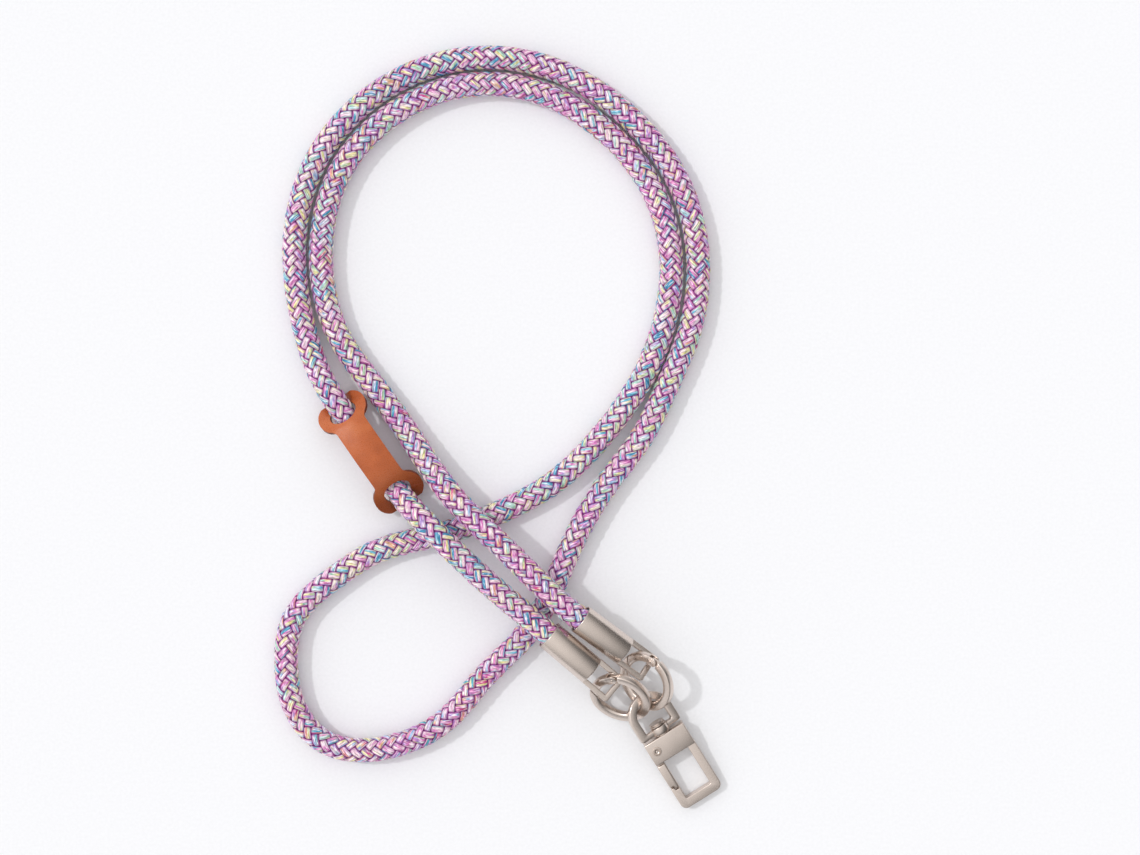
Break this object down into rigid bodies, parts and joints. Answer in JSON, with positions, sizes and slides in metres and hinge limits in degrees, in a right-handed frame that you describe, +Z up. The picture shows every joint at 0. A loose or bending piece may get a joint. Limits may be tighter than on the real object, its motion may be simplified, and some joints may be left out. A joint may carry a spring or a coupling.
{
  "type": "phone crossbody strap",
  "caption": "Braided rope strap lying coiled, with metal end caps, spring gate rings, a swivel hook clasp and a bone-shaped leather slider.",
  "frame": {"origin": "On the surface the strap lies on, under the middle of its hardware and slider", "axes": "+Z up from the surface; +Y towards the two large turns of rope; +X from the slider towards the clasp"},
  "size_m": [0.1718, 0.2936, 0.0213],
  "materials": {
    "braided_rope": "pastel space-dyed braid",
    "satin_nickel": "satin nickel plate",
    "tan_leather": "fine-grained tan leather"
  },
  "bodies": {
    "strap": {"rope": "braided_rope", "end_cap_left": "satin_nickel", "end_cap_right": "satin_nickel", "ring_left_frame": "satin_nickel", "ring_right_frame": "satin_nickel", "swivel_eye": "satin_nickel", "leather_bone": "tan_leather"},
    "clasp": {"clasp_hook": "satin_nickel"},
    "clasp_lever": {"clasp_gate": "satin_nickel"},
    "right_gate": {"ring_right_gate": "satin_nickel"},
    "left_gate": {"ring_left_gate": "satin_nickel"}
  },
  "joints": [
    {"name": "swivel", "type": "hinge", "parent": "strap", "child": "clasp", "pos_m": [0.0545, -0.0509, 0.00564], "axis": [0.526, -0.8417, -0.1219], "continuous": true},
    {"name": "clasp_lever_pivot", "type": "hinge", "parent": "clasp", "child": "clasp_lever", "pos_m": [0.05205, -0.05746, 0.00512], "axis": [0.0646, -0.1034, 0.9925], "range_deg": [0, 20], "stiffness_Nm_per_rad": 0.02, "springref_deg": -11.46},
    {"name": "right_ring_gate_pivot", "type": "hinge", "parent": "strap", "child": "right_gate", "pos_m": [0.0507, -0.02253, 0.01458], "axis": [-0.6173, -0.3186, 0.7193], "range_deg": [0, 20], "stiffness_Nm_per_rad": 0.01, "springref_deg": -11.46},
    {"name": "left_ring_gate_pivot", "type": "hinge", "parent": "strap", "child": "left_gate", "pos_m": [0.03518, -0.02909, 0.01463], "axis": [-0.2795, -0.6428, 0.7133], "range_deg": [0, 20], "stiffness_Nm_per_rad": 0.01, "springref_deg": -11.46}
  ]
}
